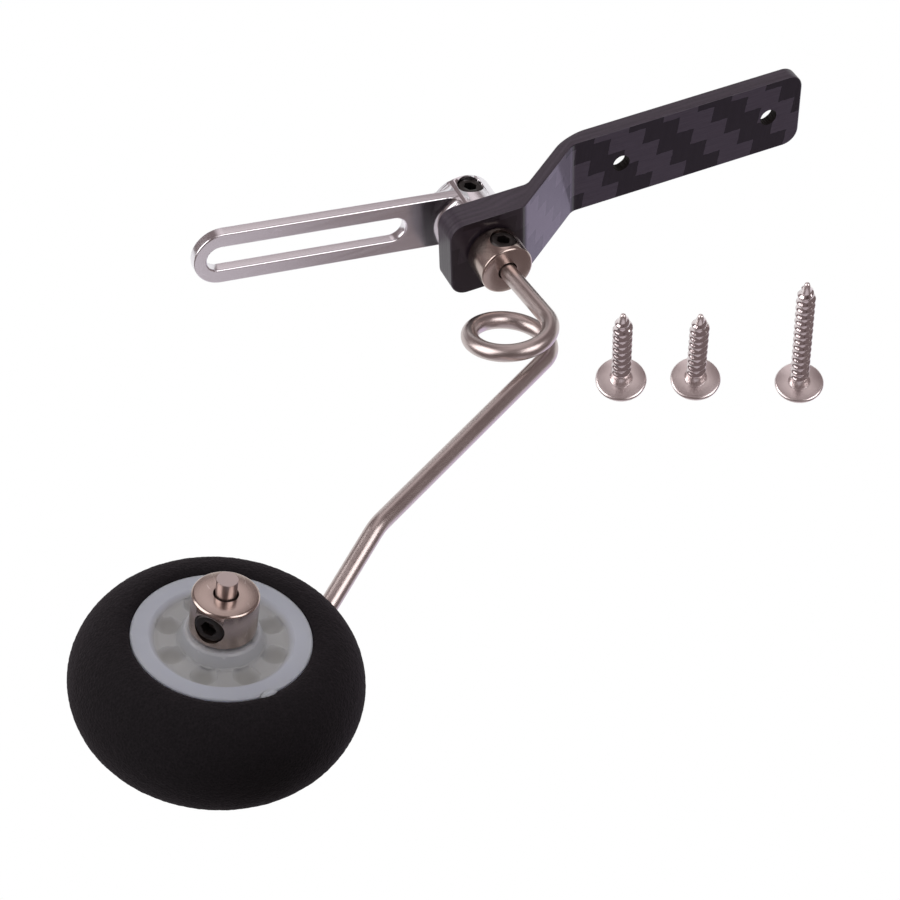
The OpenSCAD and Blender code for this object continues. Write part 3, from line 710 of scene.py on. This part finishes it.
def hub_half(name, turn):
    """One half of the hub along +Z, with the pockets in its web, turned to its side and moved to the axle."""
    made = lathe(name, hub_section, steps=144)
    for i in range(pockets):
        a = math.tau * i / pockets
        dish = lathe("dish", dish_section, steps=48)
        put(dish, Matrix.Translation((pocket_off * math.cos(a) * MM, pocket_off * math.sin(a) * MM, 0)))
        combine(made, dish, "DIFFERENCE")
    soften(made, 0.3, angle=25, segments=4)
    turned_map(made)
    put(made, on_axle(0, wheel_turn) @ Matrix.Rotation(turn, 4, "X"))
    made.data.materials.append(nylon)
    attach(made, "wheel")
    return made


nylon, tree, shader = finish("moulded_nylon")
cloud = grain(tree, 180, 4)
thick = tint(tree, cloud, (0.61, 0.625, 0.68, 1), (0.69, 0.705, 0.76, 1))
# The web and the floors of its pockets are painted darker: partly the dark inside of the wheel showing
# through the thin nylon, partly painted shade in these recesses.
at = add(tree, "SeparateXYZ", {0: add(tree, "UVMap", uv_map="turned").outputs["UV"]})
in_web = add(tree, "MapRange", {"Value": at.outputs[0], "From Min": 10.2 * MM, "From Max": 9.0 * MM},
             interpolation_type="SMOOTHSTEP").outputs[0]
off_boss = add(tree, "MapRange", {"Value": at.outputs[0], "From Min": 5.2 * MM, "From Max": 7.0 * MM},
               interpolation_type="SMOOTHSTEP").outputs[0]
sunk = add(tree, "MapRange", {"Value": at.outputs[1], "From Min": 7.75 * MM, "From Max": 7.1 * MM},
           interpolation_type="SMOOTHSTEP").outputs[0]
thin_web_and_shade = calc(tree, "MULTIPLY", in_web, calc(tree, "MULTIPLY_ADD", off_boss, 0.3, 0.7))
tone = tint(tree, thin_web_and_shade, thick, (0.555, 0.55, 0.535, 1))
# The pocket floors darker still: painted shade in the pockets.
tone = tint(tree, calc(tree, "MULTIPLY", thin_web_and_shade, sunk), tone, (0.46, 0.45, 0.43, 1))
hook(tree, tone, shader, "Base Color")
hook(tree, calc(tree, "MULTIPLY_ADD", cloud, 0.16, 0.36), shader, "Roughness")
bump = add(tree, "Bump", {"Height": grain(tree, 700, 2), "Strength": 0.08, "Distance": 0.05 * MM})
hook(tree, bump.outputs[0], shader, "Normal")
shader.inputs["Specular IOR Level"].default_value = 0.35
shader.inputs["Subsurface Weight"].default_value = 0.85
shader.inputs["Subsurface Radius"].default_value = (1.0, 1.0, 1.1)
shader.inputs["Subsurface Scale"].default_value = 1.6 * MM
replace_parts(hub_half("inner_hub", 0), "inner_hub_half")
outer_hub = hub_half("outer_hub", math.pi)
# Where the moulding gate was torn off the outer rim: a low ragged lump at its edge.
clear_selection()
bpy.ops.mesh.primitive_ico_sphere_add(subdivisions=4, radius=MM)
gate = named("gate_mark")
ragged = bpy.data.textures.new("torn_nylon", "CLOUDS")
ragged.noise_scale = 0.5 * MM
torn = gate.modifiers.new("torn", "DISPLACE")
torn.texture = ragged
torn.strength = 0.5 * MM
bpy.ops.object.modifier_apply(modifier=torn.name)
bpy.ops.object.shade_smooth()
put(gate, Matrix.Translation((12.8 * MM, 0, -8.4 * MM)) @ Matrix.Diagonal((0.7, 1.35, 0.75, 1)))
turned_map(gate)
put(gate, on_axle(0, math.radians(81)))
gate.data.materials.append(nylon)
activate(outer_hub)
gate.select_set(True)
bpy.ops.object.join()
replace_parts(outer_hub, "outer_hub_half")


# Tyre: a ring of fine-pored black foam rubber, ground to a round tread with a flat shoulder, stretched over
# the hub's barrel and held between its rims.
shoulder_r, tread_h, half_w = 14, 7, 9.05
shoulder_in, shoulder_turn, squareness = 3.42, math.radians(21.8), 2 / 1.9
shoulder = []
for i in range(9):
    t = shoulder_turn * (8 - i) / 8
    shoulder.append((shoulder_r - shoulder_in * math.sin(t), half_w * math.cos(t)))
tread = []
for i in range(1, 80):
    a = math.pi * i / 80
    c, s = math.cos(a), math.sin(a)
    tread.append((shoulder_r + tread_h * s ** squareness, half_w * math.copysign(abs(c) ** squareness, c)))
seat = [(11.43, 7.17), (12.73, 7.17)]
side = seat + shoulder
tyre = lathe("foam_tyre", side + tread + [(r, -y) for r, y in reversed(side)] + side[:1], steps=360)
pores = bpy.data.textures.new("foam_pores", "CLOUDS")
pores.noise_scale = 0.7 * MM
pores.noise_depth = 2
skin = tyre.vertex_groups.new(name="skin")
skin.add([v.index for v in tyre.data.vertices if math.hypot(v.co.x, v.co.y) > 13.5 * MM], 1.0, "REPLACE")
activate(tyre)
rough = tyre.modifiers.new("pores", "DISPLACE")
rough.texture = pores
rough.strength = 0.16 * MM
rough.mid_level = 0.75
rough.vertex_group = "skin"
bpy.ops.object.modifier_apply(modifier=rough.name)
bpy.ops.object.shade_smooth_by_angle(angle=math.radians(60))
put(tyre, on_axle(0, 0))
foam, tree, shader = finish("foam_rubber")
where = add(tree, "TexCoord").outputs["Object"]
cells = add(tree, "TexVoronoi", {"Vector": where, "Scale": 2600}).outputs["Distance"]
mottle = add(tree, "TexNoise", {"Vector": where, "Scale": 700, "Detail": 6, "Roughness": 0.7}).outputs[0]
hook(tree, tint(tree, calc(tree, "MULTIPLY_ADD", cells, 0.5, calc(tree, "MULTIPLY", mottle, 0.6)),
                (0.003, 0.0025, 0.003, 1), (0.020, 0.0155, 0.018, 1)), shader, "Base Color")
bump = add(tree, "Bump", {"Height": calc(tree, "ADD", cells, mottle), "Strength": 0.7, "Distance": 0.15 * MM})
hook(tree, bump.outputs[0], shader, "Normal")
shader.inputs["Roughness"].default_value = 0.95
shader.inputs["Specular IOR Level"].default_value = 0.15
shader.inputs["Sheen Weight"].default_value = 0.05
shader.inputs["Sheen Tint"].default_value = (0.95, 0.75, 0.85, 1)
tyre.data.materials.append(foam)
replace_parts(tyre, "tyre")
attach(tyre, "wheel")


# Loose screws: nickel-plated steel tapping screws with broad washer heads and a cross recess, two short ones
# for the bracket and a longer one for the rudder. They lie on the ground, on the head's rim and on the point.
PITCH, WASHER_R, short, long = 1.36, 3.25, 14.6, 21.4
ground_z = WHEEL.z - shoulder_r - tread_h


def thread(length):
    """The rolled thread of a screw along Z, with a sharp crest. Its caller tapers it towards the point."""
    clear_selection()
    bpy.ops.mesh.primitive_plane_add(size=MM)
    made = named("thread")
    bpy.ops.object.mode_set(mode="EDIT")
    bpy.ops.mesh.select_mode(type="VERT")
    bpy.ops.mesh.merge(type="CENTER")
    bpy.ops.transform.translate(value=(0.87 * MM, 0, 0.5 * MM))  # the root's radius and the first turn
    for out, share in ((0.04, 0.15), (0.14, 0.15), (0.15, 0.13), (0.05, 0.07), (-0.05, 0.07), (-0.15, 0.13),
                       (-0.14, 0.15), (-0.04, 0.15)):
        move = (out * MM, 0, share * PITCH * MM)
        bpy.ops.mesh.extrude_region_move(TRANSFORM_OT_translate={"value": move})
    bpy.ops.object.mode_set(mode="OBJECT")
    wind = made.modifiers.new("wind", "SCREW")
    wind.axis = "Z"
    wind.steps = wind.render_steps = 36
    wind.screw_offset = PITCH * MM
    wind.iterations = round((length - 0.9) / PITCH) - 1
    wind.use_merge_vertices = True
    bpy.ops.object.modifier_apply(modifier=wind.name)
    bpy.ops.object.mode_set(mode="EDIT")
    bpy.ops.mesh.select_all(action="SELECT")
    bpy.ops.mesh.remove_doubles(threshold=0.002 * MM)
    bpy.ops.mesh.select_all(action="DESELECT")
    bpy.ops.mesh.select_non_manifold()
    bpy.ops.mesh.edge_face_add()
    bpy.ops.mesh.select_all(action="SELECT")
    bpy.ops.mesh.normals_make_consistent(inside=False)
    bpy.ops.object.mode_set(mode="OBJECT")
    return made


def washer_screw(name, length, place, turn):
    """A screw along Z, from its washer's bearing face at zero to its point, moved to its place."""
    cone = ((0, 0), (0.2, 0.04), (0.34, 0.2), (0.5, 0.9), (0.72, 2), (0.86, 3))
    point = [(r, length - back) for r, back in cone]
    neck = [(0.86, 1.5), (1.08, 0.95), (1.2, 0.6), (1.26, 0.25), (1.38, 0.05), (1.55, 0)]
    washer = [(3.0, 0), (3.17, -0.1), (WASHER_R, -0.3), (3.2, -0.5), (3.0, -0.68), (2.5, -0.8)]
    quarter = [math.radians(a) for a in range(0, 91, 10)]
    dome = [(2.17 * math.cos(a), -0.8 - 1.5 * math.sin(a)) for a in quarter]
    made = lathe(name, point + neck + washer + dome, steps=72)
    for side in (0, math.pi / 2):
        clear_selection()
        bpy.ops.mesh.primitive_cube_add(size=1, location=(0, 0, -2.3 * MM), rotation=(0, 0, side))
        blade = bpy.context.object
        blade.scale = (2.8 * MM, 0.5 * MM, 2.0 * MM)
        bpy.ops.object.transform_apply(location=True, rotation=True, scale=True)
        combine(made, blade, "DIFFERENCE")
    soften(made, 0.05, angle=40, segments=2)
    rolled = thread(length)
    for v in rolled.data.vertices:
        share = max(0.36, min(1.0, (length + 0.95 - v.co.z / MM) / 3.7))
        v.co.x, v.co.y = v.co.x * share, v.co.y * share
    made.data.materials.append(bright_plate)
    rolled.data.materials.append(shaded_thread_plate)
    activate(rolled)
    bpy.ops.object.shade_smooth_by_angle(angle=math.radians(70))
    made.select_set(True)
    bpy.context.view_layer.objects.active = made
    bpy.ops.object.join()
    tilt = math.atan((WASHER_R - 0.15) / length)
    lying = Matrix.Translation(Vector((*place, ground_z + WASHER_R * math.cos(tilt))) * MM)
    put(made, Matrix.Translation(BRACKET_END) @ lying @ Matrix.Rotation(math.radians(-6.6), 4, "Z")
        @ Matrix.Rotation(math.pi / 2 + tilt, 4, "X") @ Matrix.Rotation(turn, 4, "Z"))
    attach(made, "mount")
    return made


def screw_plate(name, low, high, gloss):
    """The screws' plating between two tones, with a roughness from the polish of that place."""
    material, tree, shader = finish(name)
    worn = marks(tree, 300)
    tone = tint(tree, worn["Patches"], low, high)
    hook(tree, scratched(tree, worn, 0.3, tone, (0.90, 0.84, 0.83, 1)), shader, "Base Color")
    hook(tree, calc(tree, "MULTIPLY_ADD", worn["Patches"], 0.12, gloss), shader, "Roughness")
    shader.inputs["Metallic"].default_value = 1.0
    return material


bright_plate = screw_plate("bright_plate", (0.74, 0.665, 0.66, 1), (0.86, 0.785, 0.78, 1), 0.24)
# The thread's copy of the plating is darker than the head's, as painted shade in its grooves, and glossier.
shaded_thread_plate = screw_plate("shaded_thread_plate", (0.60, 0.53, 0.535, 1), (0.74, 0.66, 0.665, 1), 0.08)
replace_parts(washer_screw("short_screw_a", short, (-25.6, -65), 0.4), "mounting_screws")
washer_screw("short_screw_b", short, (-14.7, -60.5), 1.1)
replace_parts(washer_screw("long_screw", long, (1.3, -53), 2.3), "rudder_screw")


# Stage: a pale floor under the wheel, clear from below because the camera looks up through it, a white
# surround and three soft lamps. What the bright metal mirrors is a dim room with two softboxes and a few
# grey cards in it, which nothing else sees.
floor_z = -113.6
clear_selection()
bpy.ops.mesh.primitive_plane_add(size=6, location=(0, 0, floor_z * MM))
floor = named("floor")
pale, tree, shader = finish("pale_floor")
hook(tree, tint(tree, grain(tree, 40, 3), (0.80, 0.80, 0.82, 1), (0.84, 0.84, 0.86, 1)), shader, "Base Color")
shader.inputs["Roughness"].default_value = 0.9
shader.inputs["Specular IOR Level"].default_value = 0.1
to_camera = calc(tree, "MULTIPLY", add(tree, "LightPath").outputs["Is Camera Ray"], 0.42)
paler = add(tree, "Emission", {"Color": (1.0, 1.0, 1.0, 1), "Strength": to_camera})
lit = add(tree, "AddShader", {0: shader.outputs[0], 1: paler.outputs[0]})
clear_side = add(tree, "BsdfTransparent")
one_sided = add(tree, "MixShader", {0: add(tree, "NewGeometry").outputs["Backfacing"], 1: lit.outputs[0],
                                    2: clear_side.outputs[0]})
tree.links.new(one_sided.outputs[0], tree.nodes["Material Output"].inputs["Surface"])
floor.data.materials.append(pale)
floor.visible_shadow = False
floor.visible_glossy = False

world = bpy.data.worlds.new("white_surround")
bpy.context.scene.world = world
world.use_nodes = True
tree = world.node_tree
backdrop = tree.nodes["Background"]
path = add(tree, "LightPath").outputs
seen = calc(tree, "MAXIMUM", path["Is Camera Ray"], calc(tree, "MAXIMUM", path["Is Glossy Ray"],
                                                         path["Is Transmission Ray"]))
tree.links.new(tint(tree, seen, (0.24, 0.235, 0.26, 1), (1.0, 1.0, 1.0, 1)), backdrop.inputs["Color"])


def lamp(name, place, aim, size, power):
    """A soft square lamp at a place, turned to what it lights."""
    light = bpy.data.lights.new(name, "AREA")
    light.size = size
    light.energy = power
    made = bpy.data.objects.new(name, light)
    bpy.context.scene.collection.objects.link(made)
    made.location = place
    made.rotation_euler = (Vector(aim) - Vector(place)).to_track_quat("-Z", "Y").to_euler()
    made.visible_glossy = False


MIDDLE = Vector((-0.06, -0.01, -0.055))
RIGHT, UP = Vector((0.911935, 0.023102, -0.409685)), Vector((0.309791, -0.693483, 0.65047))
BACK = Vector((-0.269082, -0.720103, -0.639568))
lamp("side_lamp", (-0.03, -0.70, -0.12), MIDDLE, 0.55, 1.4)
lamp("top_lamp", (-0.10, -0.15, 0.65), MIDDLE, 0.60, 1.0)
lamp("low_lamp", (-0.55, -0.35, -0.50), MIDDLE, 0.40, 0.35)


def mirrored_only(made, material):
    """Gives a card or a room its glow, and lets only bright surfaces see it."""
    made.data.materials.append(material)
    made.visible_camera = made.visible_diffuse = made.visible_transmission = made.visible_shadow = False


def glowing(name):
    """A material that only glows, and its node tree and glow."""
    material = bpy.data.materials.new(name)
    material.use_nodes = True
    tree = material.node_tree
    glow = add(tree, "Emission")
    tree.links.new(glow.outputs[0], tree.nodes["Material Output"].inputs["Surface"])
    return material, tree, glow


def card(name, x, y, z, distance, size, colour, strength=1.0):
    """A square card in a direction from the object, given by the camera's right, up and back."""
    clear_selection()
    place = MIDDLE + (RIGHT * x + UP * y + BACK * z).normalized() * distance
    turn = (MIDDLE - place).to_track_quat("Z", "Y").to_euler()
    bpy.ops.mesh.primitive_plane_add(size=size, location=place, rotation=turn)
    made = named(name)
    material, tree, glow = glowing(name)
    glow.inputs["Color"].default_value = (*colour, 1)
    glow.inputs["Strength"].default_value = strength
    mirrored_only(made, material)


# The dim room around the camera, lighter overhead and open to the white backdrop.
room_r = 1.1
clear_selection()
bpy.ops.mesh.primitive_uv_sphere_add(segments=48, ring_count=24, radius=room_r, location=MIDDLE)
room = named("room")
bpy.ops.object.mode_set(mode="EDIT")
pick("FACE", lambda f: f.calc_center_median().dot(BACK) < -0.45)
bpy.ops.mesh.delete(type="FACE")
bpy.ops.object.mode_set(mode="OBJECT")
dim, tree, glow = glowing("dim_room")
where = add(tree, "TexCoord").outputs["Object"]
height = add(tree, "VectorMath", {0: where, 1: UP}, operation="DOT_PRODUCT").outputs["Value"]
overhead = add(tree, "MapRange", {"Value": height, "From Min": 1.03, "From Max": room_r},
               interpolation_type="SMOOTHSTEP").outputs[0]
hook(tree, tint(tree, overhead, (0.22, 0.175, 0.175, 1), (0.95, 0.86, 0.87, 1)), glow, "Color")
mirrored_only(room, dim)
card("left_softbox", -0.84, 0.22, 0.48, 0.8, 0.80, (1.0, 0.97, 0.97), 2.9)
card("right_softbox", 0.64, 0.10, 0.765, 0.8, 0.56, (1.0, 0.97, 0.97), 2.9)
card("table_card", 0.021, -0.591, -0.03, 0.59, 0.60, (0.64, 0.59, 0.62))
card("upper_card", 0.03, 0.836, 0.548, 0.7, 0.44, (0.72, 0.64, 0.64))
card("camera_card", -0.02, -0.25, 0.97, 0.7, 0.46, (0.10, 0.075, 0.07))
card("far_card", 0.60, -0.22, -0.77, 0.6, 0.36, (0.93, 0.82, 1.10))

camera = bpy.data.cameras.new("camera")
camera.sensor_width = 36
camera.lens = 99.6
camera.clip_start = 0.01
viewer = bpy.data.objects.new("camera", camera)
bpy.context.scene.collection.objects.link(viewer)
viewer.matrix_world = Matrix.Translation((-0.1789, -0.28621, -0.30902)) @ Matrix(
    [[RIGHT[i], UP[i], BACK[i]] for i in range(3)]).to_4x4()
bpy.context.scene.camera = viewer
bpy.context.scene.view_settings.view_transform = "Standard"
